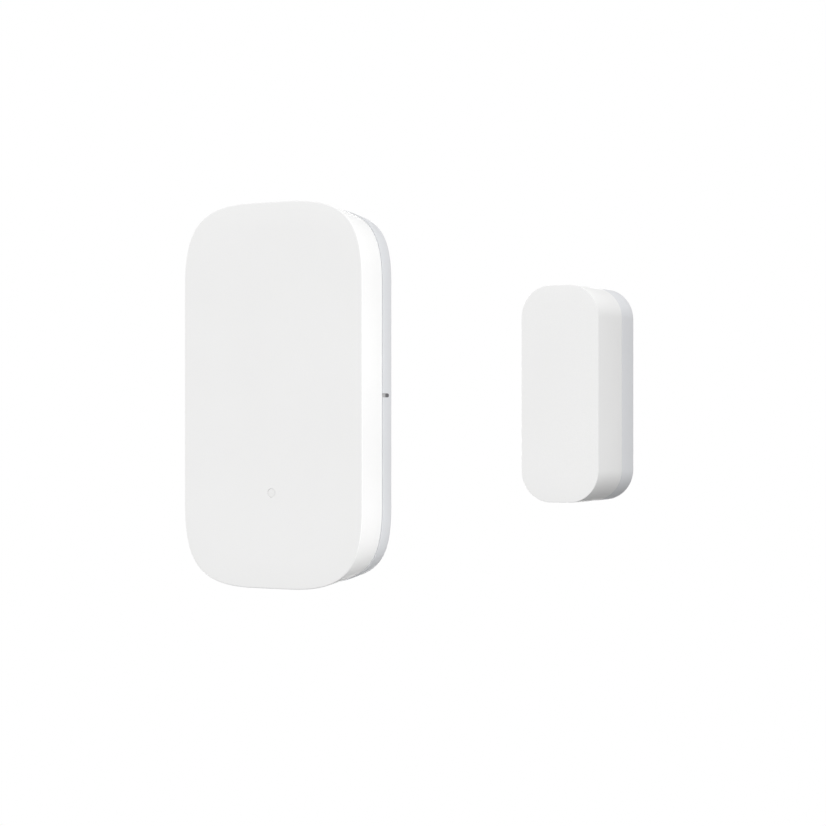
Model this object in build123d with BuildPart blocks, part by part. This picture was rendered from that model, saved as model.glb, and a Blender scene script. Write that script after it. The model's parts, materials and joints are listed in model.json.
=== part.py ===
"""Two-piece door contact sensor: a battery-powered switch unit and the magnet unit that faces it.

Both units stand upright on a flat mounting surface, the plane Y = 0, and face -Y.
Z is up and X points from the sensor to the magnet. The origin is the centre of the back
of the sensor's adhesive pad. Sizes are in millimetres. A "depth" is a distance in front of
the mounting surface, so a sketch on layer(depth) lies at Y = -depth and extrudes forward.
"""
from build123d import *
import os

# ---------------------------------------------------------------- driving dimensions
PAD_THICKNESS = 0.8
PAD_MARGIN = 1.6

SENSOR_WIDTH = 22.0
SENSOR_HEIGHT = 41.0
SENSOR_DEPTH = 8.0
SENSOR_CORNER = 8.76
CORNER_HANDLE = 0.754
SENSOR_COVER_DEPTH = 2.75
SPLIT_INSET = 0.5
COVER_SPLIT_INSET = 0.4
BACK_INSET = 0.78

MAGNET_WIDTH = 8.2
MAGNET_HEIGHT = 21.3
MAGNET_DEPTH = 9.4
MAGNET_CORNER = 3.1
MAGNET_COVER_DEPTH = 3.3
MAGNET_CENTRE_X = 33.85

PARTING_GAP = 0.03
EDGE_ROUND = 0.25
BACK_EDGE_ROUND = 0.4
FRONT_WALL = 1.1
COVER_FLOOR = 0.8
SHELL_WALL_INSET = 1.7
TONGUE_CLEARANCE = 0.1
TONGUE_WALL = 0.7
TONGUE_RISE = 1.2

MARK_LENGTH = 1.65
MARK_HEIGHT = 0.4
MARK_GROOVE = 0.3
MARK_INLAY = 0.12

BOARD_THICKNESS = 0.8
BOARD_INSET = 2.0
BOARD_GAP = 1.1
STAKE_X = 6.3
STAKE_Z = 15.5
STAKE_RADIUS = 0.5
STAKE_HEAD_RADIUS = 0.8
STAKE_HEAD_HEIGHT = 0.3
STAKE_CLEARANCE = 0.05

LIGHT_Z = -10.35
LIGHT_GUIDE_RADIUS = 0.45
LIGHT_GUIDE_FOOT_RADIUS = 0.9
LIGHT_GUIDE_FOOT = 0.3
SLIP = 0.02

CELL_RADIUS = 8.0
CELL_THICKNESS = 3.2
CELL_Z = 6.4
CELL_WALL = 0.25
CELL_CAP_RISE = 0.2
CELL_SEAL = 0.45
CLIP_WIDTH = 3.0
CLIP_THICKNESS = 0.2
CLIP_FOOT_Z = -4.6
CLIP_RISER_Z = -2.7
CLIP_TIP_Z = 3.5
CLIP_GAP = 0.1
CLIP_DIMPLE_RADIUS = 0.5
CONTACT_WIDTH = 3.0
CONTACT_LENGTH = 8.0
CONTACT_THICKNESS = 0.15
HOLDER_BASE = 0.4
HOLDER_WALL = 0.6
HOLDER_RISE = 2.4
HOLDER_OPENING_RADIUS = 5.0

REED_X = 7.5
REED_RADIUS = 0.9
REED_LENGTH = 7.0
REED_WALL = 0.25
REED_BORE_LENGTH = 5.8
LEAD_RADIUS = 0.15
LEAD_REACH = 5.4
BLADE_WIDTH = 0.6
BLADE_THICKNESS = 0.1
BLADE_GAP = 0.08
BLADE_OVERLAP = 0.6

BUTTON_DEPTH = 5.1
BUTTON_RADIUS = 0.7
BUTTON_CLEARANCE = 0.05
BUTTON_FLANGE_RADIUS = 1.0
BUTTON_FLANGE_Z = 17.9
BUTTON_FLANGE = 0.45
BUTTON_TOP_Z = 20.02
BUTTON_TRAVEL = 0.25
SWITCH_WIDTH = 3.5
SWITCH_LOW_Z = 15.4
SWITCH_HIGH_Z = 17.4
SWITCH_RISE = 1.4
SWITCH_POCKET_Z = 16.0
PLUNGER_RADIUS = 0.5
DOME_THICKNESS = 0.12
TERMINAL_WIDTH = 0.5
TERMINAL_THICKNESS = 0.1

MAGNET_WALL = 1.2
MAGNET_PAD_MARGIN = 1.0
BAR_WIDTH = 4.6
BAR_HEIGHT = 15.0
BAR_THICKNESS = 3.4
RETAINER_WIDTH = 3.6
RETAINER_HEIGHT = 13.0
RETAINER_THICKNESS = 1.2
RIB_SPACING = 8.0
RIB_THICKNESS = 0.8

# ---------------------------------------------------------------- derived depths
COVER_BACK = PAD_THICKNESS
COVER_INSIDE = COVER_BACK + COVER_FLOOR

SENSOR_FRONT = COVER_BACK + SENSOR_DEPTH
SENSOR_SPLIT = COVER_BACK + SENSOR_COVER_DEPTH
SENSOR_SHELL_BACK = SENSOR_SPLIT + PARTING_GAP
SENSOR_TONGUE_TOP = SENSOR_SPLIT + TONGUE_RISE
SENSOR_SHELL_INSIDE = SENSOR_FRONT - FRONT_WALL

MAGNET_FRONT = COVER_BACK + MAGNET_DEPTH
MAGNET_SPLIT = COVER_BACK + MAGNET_COVER_DEPTH
MAGNET_SHELL_BACK = MAGNET_SPLIT + PARTING_GAP
MAGNET_SHELL_INSIDE = MAGNET_FRONT - FRONT_WALL

TONGUE_OUTER_INSET = SHELL_WALL_INSET + TONGUE_CLEARANCE
TONGUE_INNER_INSET = TONGUE_OUTER_INSET + TONGUE_WALL

BOARD_FRONT = SENSOR_SHELL_INSIDE - BOARD_GAP
BOARD_BACK = BOARD_FRONT - BOARD_THICKNESS
HOLDER_FRONT = BOARD_BACK - HOLDER_BASE
CELL_BACK = HOLDER_FRONT - CELL_THICKNESS
REED_DEPTH = BOARD_FRONT + LEAD_RADIUS
TRAVEL_SLACK = 0.05


def layer(depth):
    """The sketch plane at a depth in front of the mounting surface."""
    return Plane.XZ.offset(depth)


def level(height):
    """The horizontal sketch plane at a height. Its local X and Y are the model's."""
    return Plane.XY.offset(height)


def sensor_outline(inset):
    """The sensor's outline, drawn in by an even inset from its front edge.

    Each corner is one curve that leaves the straight sides slowly, fuller than an arc.
    """
    x = SENSOR_WIDTH / 2 - inset
    y = SENSOR_HEIGHT / 2 - inset
    corner = SENSOR_CORNER - inset
    reach = corner * CORNER_HANDLE
    with BuildSketch(Plane.XY) as outline:
        with BuildLine():
            Line((0, y), (x - corner, y))
            Bezier(
                (x - corner, y),
                (x - corner + reach, y),
                (x, y - corner + reach),
                (x, y - corner),
            )
            Line((x, y - corner), (x, 0))
            mirror(about=Plane.XZ)
            mirror(about=Plane.YZ)
        make_face()
    return outline.sketch


def magnet_outline(inset):
    """The magnet unit's outline, drawn in by an even inset."""
    with BuildSketch(Plane.XY) as outline:
        with Locations((MAGNET_CENTRE_X, 0)):
            RectangleRounded(
                MAGNET_WIDTH - 2 * inset,
                MAGNET_HEIGHT - 2 * inset,
                MAGNET_CORNER - inset,
            )
    return outline.sketch


def inset_at_split(depth):
    """How far the sensor shell's tapered side is drawn in at a depth."""
    return SPLIT_INSET * (SENSOR_FRONT - depth) / (SENSOR_FRONT - SENSOR_SPLIT)


# ================================================================ sensor: fixed half

# The rear cover is a tray. A tongue stands up from its rim into the front shell, and is
# cut away at the top for the reset button. A groove on the right side takes the mark.
with BuildPart() as rear_cover:
    with BuildSketch(layer(COVER_BACK)):
        add(sensor_outline(BACK_INSET))
    with BuildSketch(layer(SENSOR_SPLIT)):
        add(sensor_outline(COVER_SPLIT_INSET))
    loft(ruled=True)
    fillet(rear_cover.faces().sort_by(Axis.Y)[-1].edges(), BACK_EDGE_ROUND)
    with BuildSketch(layer(SENSOR_SPLIT)):
        add(sensor_outline(TONGUE_OUTER_INSET))
    extrude(amount=TONGUE_RISE)
    with BuildSketch(layer(COVER_INSIDE)):
        add(sensor_outline(TONGUE_INNER_INSET))
    extrude(amount=SENSOR_TONGUE_TOP - COVER_INSIDE, mode=Mode.SUBTRACT)
    with BuildSketch(layer(SENSOR_SPLIT)):
        with Locations((0, SENSOR_HEIGHT / 2 - TONGUE_OUTER_INSET)):
            Rectangle(4 * BUTTON_FLANGE_RADIUS, 4 * TONGUE_WALL)
    extrude(amount=TONGUE_RISE, mode=Mode.SUBTRACT)
    with BuildSketch(layer(SENSOR_SPLIT - MARK_LENGTH)):
        with Locations((SENSOR_WIDTH / 2 - COVER_SPLIT_INSET, 0)):
            Rectangle(2 * MARK_GROOVE, MARK_HEIGHT)
    extrude(amount=MARK_LENGTH, mode=Mode.SUBTRACT)
rear_cover.part.label = "rear_cover"

# The dark strip that lies on the floor of the groove and shows where the reed switch is.
with BuildPart() as alignment_mark:
    with BuildSketch(layer(SENSOR_SPLIT - MARK_LENGTH)):
        with Locations((SENSOR_WIDTH / 2 - COVER_SPLIT_INSET - MARK_GROOVE, 0)):
            Rectangle(MARK_INLAY, MARK_HEIGHT, align=(Align.MIN, Align.CENTER))
    extrude(amount=MARK_LENGTH)
alignment_mark.part.label = "alignment_mark"

with BuildPart() as sensor_pad:
    with BuildSketch(layer(0)):
        add(sensor_outline(BACK_INSET + PAD_MARGIN))
    extrude(amount=PAD_THICKNESS)
sensor_pad.part.label = "sensor_pad"

# ================================================================ sensor: front shell

# The shell flares from the parting line to its flat front. Inside it has four posts, each
# with a pin that passes through the circuit board and is staked over to a head.
with BuildPart() as front_shell:
    with BuildSketch(layer(SENSOR_SHELL_BACK)):
        add(sensor_outline(inset_at_split(SENSOR_SHELL_BACK)))
    with BuildSketch(layer(SENSOR_FRONT)):
        add(sensor_outline(0))
    loft(ruled=True)
    fillet(front_shell.faces().sort_by(Axis.Y)[0].edges(), EDGE_ROUND)
    with BuildSketch(layer(SENSOR_SHELL_BACK)):
        add(sensor_outline(SHELL_WALL_INSET))
    extrude(amount=SENSOR_SHELL_INSIDE - SENSOR_SHELL_BACK, mode=Mode.SUBTRACT)
    with BuildSketch(layer(BOARD_FRONT)):
        with GridLocations(2 * STAKE_X, 2 * STAKE_Z, 2, 2):
            Circle(STAKE_HEAD_RADIUS)
    extrude(amount=BOARD_GAP)
    with BuildSketch(layer(BOARD_BACK)):
        with GridLocations(2 * STAKE_X, 2 * STAKE_Z, 2, 2):
            Circle(STAKE_RADIUS)
    extrude(amount=BOARD_THICKNESS)
    with BuildSketch(layer(BOARD_BACK - STAKE_HEAD_HEIGHT)):
        with GridLocations(2 * STAKE_X, 2 * STAKE_Z, 2, 2):
            Circle(STAKE_HEAD_RADIUS)
    extrude(amount=STAKE_HEAD_HEIGHT)
    with BuildSketch(layer(SENSOR_SHELL_INSIDE)):
        with Locations((0, LIGHT_Z)):
            Circle(LIGHT_GUIDE_RADIUS + SLIP)
    extrude(amount=FRONT_WALL, mode=Mode.SUBTRACT)
    with BuildSketch(level(SWITCH_HIGH_Z)):
        with Locations((0, -BUTTON_DEPTH)):
            Circle(BUTTON_RADIUS + BUTTON_CLEARANCE)
    extrude(amount=SENSOR_HEIGHT / 2 - SWITCH_HIGH_Z, mode=Mode.SUBTRACT)
front_shell.part.label = "front_shell"

# A clear pin with a foot. The foot sits over the indicator light, the pin ends in the front.
with BuildPart() as light_guide:
    with BuildSketch(layer(SENSOR_SHELL_INSIDE - LIGHT_GUIDE_FOOT)):
        with Locations((0, LIGHT_Z)):
            Circle(LIGHT_GUIDE_FOOT_RADIUS)
    extrude(amount=LIGHT_GUIDE_FOOT)
    with BuildSketch(layer(SENSOR_SHELL_INSIDE)):
        with Locations((0, LIGHT_Z)):
            Circle(LIGHT_GUIDE_RADIUS)
    extrude(amount=FRONT_WALL - SLIP)
light_guide.part.label = "light_guide"

# ================================================================ sensor: electronics

# The board has a notch in its right edge for the reed switch and one at the top for the button.
with BuildPart() as circuit_board:
    with BuildSketch(layer(BOARD_BACK)):
        add(sensor_outline(BOARD_INSET))
        with GridLocations(2 * STAKE_X, 2 * STAKE_Z, 2, 2):
            Circle(STAKE_RADIUS + STAKE_CLEARANCE, mode=Mode.SUBTRACT)
        with Locations((SENSOR_WIDTH / 2, 0)):
            Rectangle(
                2 * (SENSOR_WIDTH / 2 - REED_X + REED_RADIUS + 2 * STAKE_CLEARANCE),
                REED_LENGTH + 6 * STAKE_CLEARANCE,
                mode=Mode.SUBTRACT,
            )
        with Locations((0, SENSOR_HEIGHT / 2)):
            Rectangle(
                2 * BUTTON_FLANGE_RADIUS + 12 * STAKE_CLEARANCE,
                2 * (SENSOR_HEIGHT / 2 - SWITCH_HIGH_Z),
                mode=Mode.SUBTRACT,
            )
    extrude(amount=BOARD_THICKNESS)
circuit_board.part.label = "circuit_board"


def chip(width, height, rise, x, z, front=True):
    """A flat rectangular component on the board's front face or, if not front, its back."""
    base = BOARD_FRONT if front else BOARD_BACK - rise
    with BuildPart() as component:
        with BuildSketch(layer(base)):
            with Locations((x, z)):
                Rectangle(width, height)
        extrude(amount=rise)
    return component.part


def named(part, name):
    """The part with its name as its label."""
    part.label = name
    return part


status_led = named(chip(0.8, 1.6, 0.6, 0, LIGHT_Z), "status_led")
radio_chip = named(chip(6.0, 6.0, 0.85, -2.4, -3.6), "radio_chip")
clock_crystal = named(chip(3.2, 2.5, 0.7, -2.4, -8.6), "clock_crystal")
chip_antenna = named(chip(7.0, 2.0, 0.9, 0, -16.9), "chip_antenna")
memory_chip = named(chip(5.0, 4.0, 0.9, -2.4, 3.0), "memory_chip")
buffer_capacitor = named(chip(3.2, 1.6, 1.6, 4.0, -9.5, front=False), "buffer_capacitor")

# Two columns of small resistors and capacitors on the front face.
with BuildPart() as small_components:
    with BuildSketch(layer(BOARD_FRONT)):
        with Locations((3.2, -1.5)):
            with GridLocations(1.8, 1.3, 2, 6):
                Rectangle(1.0, 0.5)
        with Locations((4.6, -12.5)):
            with GridLocations(1.8, 1.3, 2, 3):
                Rectangle(1.0, 0.5)
    extrude(amount=0.35)
small_components.part.label = "small_components"

# ---------------------------------------------------------------- reed switch

# A sealed glass tube, upright beside the cell, with a lead through each end.
with BuildPart() as reed_glass:
    with BuildSketch(level(-REED_LENGTH / 2)):
        with Locations((REED_X, -REED_DEPTH)):
            Circle(REED_RADIUS)
    extrude(amount=REED_LENGTH)
    fillet(reed_glass.edges().filter_by(GeomType.CIRCLE), REED_RADIUS * 0.6)
    with BuildSketch(level(-REED_LENGTH / 2)):
        with Locations((REED_X, -REED_DEPTH)):
            Circle(LEAD_RADIUS + SLIP / 2)
    extrude(amount=REED_LENGTH, mode=Mode.SUBTRACT)
    with BuildSketch(level(-REED_BORE_LENGTH / 2)):
        with Locations((REED_X, -REED_DEPTH)):
            Circle(REED_RADIUS - REED_WALL)
    extrude(amount=REED_BORE_LENGTH, mode=Mode.SUBTRACT)
reed_glass.part.label = "reed_glass"

BLADE_OFFSET = (BLADE_THICKNESS + BLADE_GAP) / 2

# The fixed blade is the flattened end of the upper lead.
with BuildPart() as reed_fixed_blade:
    with BuildSketch(level(REED_BORE_LENGTH / 2 - 2 * LEAD_RADIUS)):
        with Locations((REED_X, -REED_DEPTH)):
            Circle(LEAD_RADIUS)
    extrude(amount=LEAD_REACH - REED_BORE_LENGTH / 2 + 2 * LEAD_RADIUS)
    with BuildSketch(level(-BLADE_OVERLAP / 2)):
        with Locations((REED_X, -REED_DEPTH - BLADE_OFFSET)):
            Rectangle(BLADE_WIDTH, BLADE_THICKNESS)
    extrude(amount=REED_BORE_LENGTH / 2 + BLADE_OVERLAP / 2)
reed_fixed_blade.part.label = "reed_fixed_blade"

# The lower lead ends inside the glass, where the moving blade bends.
with BuildPart() as reed_lower_lead:
    with BuildSketch(level(-LEAD_REACH)):
        with Locations((REED_X, -REED_DEPTH)):
            Circle(LEAD_RADIUS)
    extrude(amount=LEAD_REACH - REED_BORE_LENGTH / 2 + TRAVEL_SLACK)
reed_lower_lead.part.label = "reed_lower_lead"

with BuildPart() as reed_moving_blade:
    with BuildSketch(level(-REED_BORE_LENGTH / 2 + TRAVEL_SLACK)):
        with Locations((REED_X, -REED_DEPTH + BLADE_OFFSET)):
            Rectangle(BLADE_WIDTH, BLADE_THICKNESS)
    extrude(amount=REED_BORE_LENGTH / 2 - TRAVEL_SLACK + BLADE_OVERLAP / 2)
reed_moving_blade.part.label = "reed_moving_blade"

# ---------------------------------------------------------------- coin cell and its contacts

# A thin ring under the cell, with a wall at the top and the bottom of the cell only.
with BuildPart() as battery_holder:
    with BuildSketch(layer(HOLDER_FRONT)):
        with Locations((0, CELL_Z)):
            Circle(CELL_RADIUS + HOLDER_WALL)
            Circle(HOLDER_OPENING_RADIUS, mode=Mode.SUBTRACT)
            Rectangle(2 * CELL_RADIUS, 3 * CELL_RADIUS, mode=Mode.INTERSECT)
    extrude(amount=HOLDER_BASE)
    with BuildSketch(layer(HOLDER_FRONT - HOLDER_RISE)):
        with Locations((0, CELL_Z)):
            Circle(CELL_RADIUS + HOLDER_WALL)
            Circle(CELL_RADIUS + STAKE_CLEARANCE, mode=Mode.SUBTRACT)
            Rectangle(CELL_RADIUS, 3 * CELL_RADIUS, mode=Mode.INTERSECT)
    extrude(amount=HOLDER_RISE)
battery_holder.part.label = "battery_holder"

with BuildPart() as cell_can:
    with BuildSketch(layer(CELL_BACK)):
        with Locations((0, CELL_Z)):
            Circle(CELL_RADIUS)
    extrude(amount=CELL_THICKNESS - CELL_CAP_RISE)
    fillet(cell_can.faces().sort_by(Axis.Y)[-1].edges(), CELL_WALL)
    with BuildSketch(layer(CELL_BACK + CELL_WALL)):
        with Locations((0, CELL_Z)):
            Circle(CELL_RADIUS - CELL_WALL)
    extrude(amount=CELL_THICKNESS, mode=Mode.SUBTRACT)
cell_can.part.label = "cell_can"

with BuildPart() as cell_seal:
    with BuildSketch(layer(CELL_BACK + CELL_WALL)):
        with Locations((0, CELL_Z)):
            Circle(CELL_RADIUS - CELL_WALL - SLIP)
            Circle(CELL_RADIUS - CELL_WALL - CELL_SEAL, mode=Mode.SUBTRACT)
    extrude(amount=CELL_THICKNESS - CELL_CAP_RISE - CELL_WALL)
cell_seal.part.label = "cell_seal"

# The negative cap, with the cell's filling behind it.
with BuildPart() as cell_cap:
    with BuildSketch(layer(CELL_BACK + CELL_WALL)):
        with Locations((0, CELL_Z)):
            Circle(CELL_RADIUS - CELL_WALL - CELL_SEAL - SLIP)
    extrude(amount=CELL_THICKNESS - CELL_WALL)
    fillet(cell_cap.faces().sort_by(Axis.Y)[0].edges(), CELL_CAP_RISE)
cell_cap.part.label = "cell_cap"

# A sprung strap that rises from the board below the cell and reaches over the cell's back,
# where a dimple touches it.
with BuildPart() as positive_clip:
    with BuildSketch(Plane.YZ.offset(-CLIP_WIDTH / 2)):
        with Locations((-BOARD_BACK, CLIP_FOOT_Z)):
            Rectangle(
                CLIP_THICKNESS,
                CLIP_RISER_Z - CLIP_FOOT_Z + CLIP_THICKNESS,
                align=(Align.MIN, Align.MIN),
            )
        with Locations((-BOARD_BACK, CLIP_RISER_Z)):
            Rectangle(
                BOARD_BACK - CELL_BACK + CLIP_GAP + CLIP_THICKNESS,
                CLIP_THICKNESS,
                align=(Align.MIN, Align.MIN),
            )
        with Locations((-CELL_BACK + CLIP_GAP, CLIP_RISER_Z)):
            Rectangle(
                CLIP_THICKNESS,
                CLIP_TIP_Z - CLIP_RISER_Z,
                align=(Align.MIN, Align.MIN),
            )
    extrude(amount=CLIP_WIDTH)
    with BuildSketch(layer(CELL_BACK - CLIP_GAP)):
        with Locations((0, CLIP_TIP_Z - 2 * CLIP_DIMPLE_RADIUS)):
            Circle(CLIP_DIMPLE_RADIUS)
    extrude(amount=CLIP_GAP)
positive_clip.part.label = "positive_clip"

# A plate on the board with a raised button that touches the cell's cap.
with BuildPart() as negative_contact:
    with BuildSketch(layer(BOARD_BACK - CONTACT_THICKNESS)):
        with Locations((0, CELL_Z)):
            Rectangle(CONTACT_WIDTH, CONTACT_LENGTH)
    extrude(amount=CONTACT_THICKNESS)
    with BuildSketch(layer(HOLDER_FRONT)):
        with Locations((0, CELL_Z)):
            Circle(CONTACT_WIDTH / 4)
    extrude(amount=HOLDER_BASE - CONTACT_THICKNESS)
negative_contact.part.label = "negative_contact"

# ---------------------------------------------------------------- reset switch and button

with BuildPart() as switch_body:
    with BuildSketch(level(SWITCH_LOW_Z)):
        with Locations((0, SWITCH_RISE / 2 - BOARD_BACK)):
            Rectangle(SWITCH_WIDTH, SWITCH_RISE)
    extrude(amount=SWITCH_HIGH_Z - SWITCH_LOW_Z)
    with BuildSketch(level(SWITCH_POCKET_Z)):
        with Locations((0, -BUTTON_DEPTH)):
            Circle(PLUNGER_RADIUS + BUTTON_CLEARANCE)
    extrude(amount=SWITCH_HIGH_Z - SWITCH_POCKET_Z, mode=Mode.SUBTRACT)
switch_body.part.label = "switch_body"

with BuildPart() as switch_terminals:
    with BuildSketch(layer(BOARD_BACK - TERMINAL_THICKNESS)):
        with Locations((0, (SWITCH_LOW_Z + SWITCH_HIGH_Z) / 2)):
            with GridLocations(SWITCH_WIDTH + TERMINAL_WIDTH, 1, 2, 1):
                Rectangle(TERMINAL_WIDTH, 2 * TERMINAL_WIDTH)
    extrude(amount=TERMINAL_THICKNESS)
switch_terminals.part.label = "switch_terminals"

with BuildPart() as switch_dome:
    with BuildSketch(level(SWITCH_POCKET_Z)):
        with Locations((0, -BUTTON_DEPTH)):
            Circle(PLUNGER_RADIUS)
    extrude(amount=DOME_THICKNESS)
switch_dome.part.label = "switch_dome"

PLUNGER_LOW_Z = SWITCH_POCKET_Z + DOME_THICKNESS + BUTTON_TRAVEL + TRAVEL_SLACK

with BuildPart() as switch_plunger:
    with BuildSketch(level(PLUNGER_LOW_Z)):
        with Locations((0, -BUTTON_DEPTH)):
            Circle(PLUNGER_RADIUS)
    extrude(amount=BUTTON_FLANGE_Z - PLUNGER_LOW_Z)
switch_plunger.part.label = "switch_plunger"

# The button's stem fills the hole in the shell's top wall. A flange keeps it from falling out.
with BuildPart() as reset_button:
    with BuildSketch(level(BUTTON_FLANGE_Z)):
        with Locations((0, -BUTTON_DEPTH)):
            Circle(BUTTON_FLANGE_RADIUS)
    extrude(amount=BUTTON_FLANGE)
    with BuildSketch(level(BUTTON_FLANGE_Z)):
        with Locations((0, -BUTTON_DEPTH)):
            Circle(BUTTON_RADIUS)
    extrude(amount=BUTTON_TOP_Z - BUTTON_FLANGE_Z)
    fillet(reset_button.faces().sort_by(Axis.Z)[-1].edges(), BUTTON_CLEARANCE * 2)
reset_button.part.label = "reset_button"

# ================================================================ magnet unit

# The magnet unit's rear cover, with two ribs that press the retainer against the magnet and
# a groove on the side that faces the sensor.
RETAINER_BACK = MAGNET_SHELL_INSIDE - BAR_THICKNESS - RETAINER_THICKNESS
MAGNET_LEFT_X = MAGNET_CENTRE_X - MAGNET_WIDTH / 2

with BuildPart() as magnet_cover:
    with BuildSketch(layer(COVER_BACK)):
        add(magnet_outline(0))
    extrude(amount=MAGNET_COVER_DEPTH)
    fillet(magnet_cover.faces().sort_by(Axis.Y)[-1].edges(), BACK_EDGE_ROUND)
    with BuildSketch(layer(MAGNET_SPLIT)):
        add(magnet_outline(MAGNET_WALL + TONGUE_CLEARANCE))
    extrude(amount=TONGUE_RISE)
    with BuildSketch(layer(COVER_INSIDE)):
        add(magnet_outline(MAGNET_WALL + TONGUE_CLEARANCE + TONGUE_WALL))
    extrude(amount=MAGNET_SPLIT + TONGUE_RISE - COVER_INSIDE, mode=Mode.SUBTRACT)
    with BuildSketch(layer(COVER_INSIDE)):
        with Locations((MAGNET_CENTRE_X, 0)):
            with GridLocations(1, RIB_SPACING, 1, 2):
                Rectangle(MAGNET_WIDTH - 2 * MAGNET_WALL - TONGUE_WALL, RIB_THICKNESS)
    extrude(amount=RETAINER_BACK - COVER_INSIDE)
    with BuildSketch(layer(MAGNET_SPLIT - MARK_LENGTH)):
        with Locations((MAGNET_LEFT_X, 0)):
            Rectangle(2 * MARK_GROOVE, MARK_HEIGHT)
    extrude(amount=MARK_LENGTH, mode=Mode.SUBTRACT)
magnet_cover.part.label = "magnet_cover"

with BuildPart() as magnet_mark:
    with BuildSketch(layer(MAGNET_SPLIT - MARK_LENGTH)):
        with Locations((MAGNET_LEFT_X + MARK_GROOVE, 0)):
            Rectangle(MARK_INLAY, MARK_HEIGHT, align=(Align.MAX, Align.CENTER))
    extrude(amount=MARK_LENGTH)
magnet_mark.part.label = "magnet_mark"

with BuildPart() as magnet_shell:
    with BuildSketch(layer(MAGNET_SHELL_BACK)):
        add(magnet_outline(0))
    extrude(amount=MAGNET_FRONT - MAGNET_SHELL_BACK)
    fillet(magnet_shell.faces().sort_by(Axis.Y)[0].edges(), EDGE_ROUND)
    with BuildSketch(layer(MAGNET_SHELL_BACK)):
        add(magnet_outline(MAGNET_WALL))
    extrude(amount=MAGNET_SHELL_INSIDE - MAGNET_SHELL_BACK, mode=Mode.SUBTRACT)
magnet_shell.part.label = "magnet_shell"

with BuildPart() as bar_magnet:
    with BuildSketch(layer(MAGNET_SHELL_INSIDE - BAR_THICKNESS)):
        with Locations((MAGNET_CENTRE_X, 0)):
            Rectangle(BAR_WIDTH, BAR_HEIGHT)
    extrude(amount=BAR_THICKNESS)
    chamfer(bar_magnet.edges(), EDGE_ROUND)
bar_magnet.part.label = "bar_magnet"

# A foam strip between the ribs and the magnet.
with BuildPart() as magnet_retainer:
    with BuildSketch(layer(RETAINER_BACK)):
        with Locations((MAGNET_CENTRE_X, 0)):
            Rectangle(RETAINER_WIDTH, RETAINER_HEIGHT)
    extrude(amount=RETAINER_THICKNESS)
magnet_retainer.part.label = "magnet_retainer"

with BuildPart() as magnet_pad:
    with BuildSketch(layer(0)):
        add(magnet_outline(MAGNET_PAD_MARGIN))
    extrude(amount=PAD_THICKNESS)
magnet_pad.part.label = "magnet_pad"

# ================================================================ files

os.makedirs("parts", exist_ok=True)
for builder in (
    rear_cover,
    alignment_mark,
    sensor_pad,
    front_shell,
    light_guide,
    circuit_board,
    small_components,
    reed_glass,
    reed_fixed_blade,
    reed_lower_lead,
    reed_moving_blade,
    battery_holder,
    cell_can,
    cell_seal,
    cell_cap,
    positive_clip,
    negative_contact,
    switch_body,
    switch_terminals,
    switch_dome,
    switch_plunger,
    reset_button,
    magnet_cover,
    magnet_mark,
    magnet_shell,
    bar_magnet,
    magnet_retainer,
    magnet_pad,
):
    export_step(builder.part, f"parts/{builder.part.label}.step")
for component in (status_led, radio_chip, clock_crystal, chip_antenna, memory_chip, buffer_capacitor):
    export_step(component, f"parts/{component.label}.step")
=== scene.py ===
"""Looks of the two-piece door contact sensor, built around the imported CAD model.

The frame is the CAD's: Z up, X from the sensor to the magnet unit, fronts facing -Y, and the
mounting surface at Y = 0. Lengths in this script are in millimetres, and add_rings turns them
into metres. A "depth" is a distance in front of the mounting surface.
"""
import json
import math
import random

import bmesh
import bpy
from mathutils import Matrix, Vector


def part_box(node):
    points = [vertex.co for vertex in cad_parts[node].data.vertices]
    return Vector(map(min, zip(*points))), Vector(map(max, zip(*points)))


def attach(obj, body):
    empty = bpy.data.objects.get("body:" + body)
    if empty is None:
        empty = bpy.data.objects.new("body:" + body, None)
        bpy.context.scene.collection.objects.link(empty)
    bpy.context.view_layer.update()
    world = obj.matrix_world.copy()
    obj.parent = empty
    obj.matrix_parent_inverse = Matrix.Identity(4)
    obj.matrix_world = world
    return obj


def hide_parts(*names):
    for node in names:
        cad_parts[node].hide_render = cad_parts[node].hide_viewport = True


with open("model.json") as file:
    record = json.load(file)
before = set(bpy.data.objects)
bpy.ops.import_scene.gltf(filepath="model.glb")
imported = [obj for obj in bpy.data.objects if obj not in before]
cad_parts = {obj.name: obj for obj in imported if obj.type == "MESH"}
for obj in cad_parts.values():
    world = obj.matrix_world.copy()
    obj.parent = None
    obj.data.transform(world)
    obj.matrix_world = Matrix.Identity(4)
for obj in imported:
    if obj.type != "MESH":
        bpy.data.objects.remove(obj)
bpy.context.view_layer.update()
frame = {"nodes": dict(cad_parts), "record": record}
NODES = frame["nodes"]
SLOT_OF = {part["node"]: part["material_slot"] for part in frame["record"]["subparts"]}
MM = 0.001


# ---- places from the frame
def low(node):
    return Vector(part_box(node)[0]) / MM


def high(node):
    return Vector(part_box(node)[1]) / MM


def middle(node):
    return (low(node) + high(node)) / 2


TONGUE_RISE = 1.2
FRONT_DEPTH = -low("front_shell").y
SHELL_BACK_DEPTH = -high("front_shell").y
COVER_FRONT_DEPTH = -low("rear_cover").y - TONGUE_RISE
COVER_BACK_DEPTH = -high("rear_cover").y
MAGNET_FRONT_DEPTH = -low("magnet_shell").y
MAGNET_SHELL_BACK_DEPTH = -high("magnet_shell").y
MAGNET_COVER_FRONT_DEPTH = -low("magnet_cover").y - TONGUE_RISE
BOARD_FRONT_DEPTH = -low("circuit_board").y
BOARD_BACK_DEPTH = -high("circuit_board").y

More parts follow.
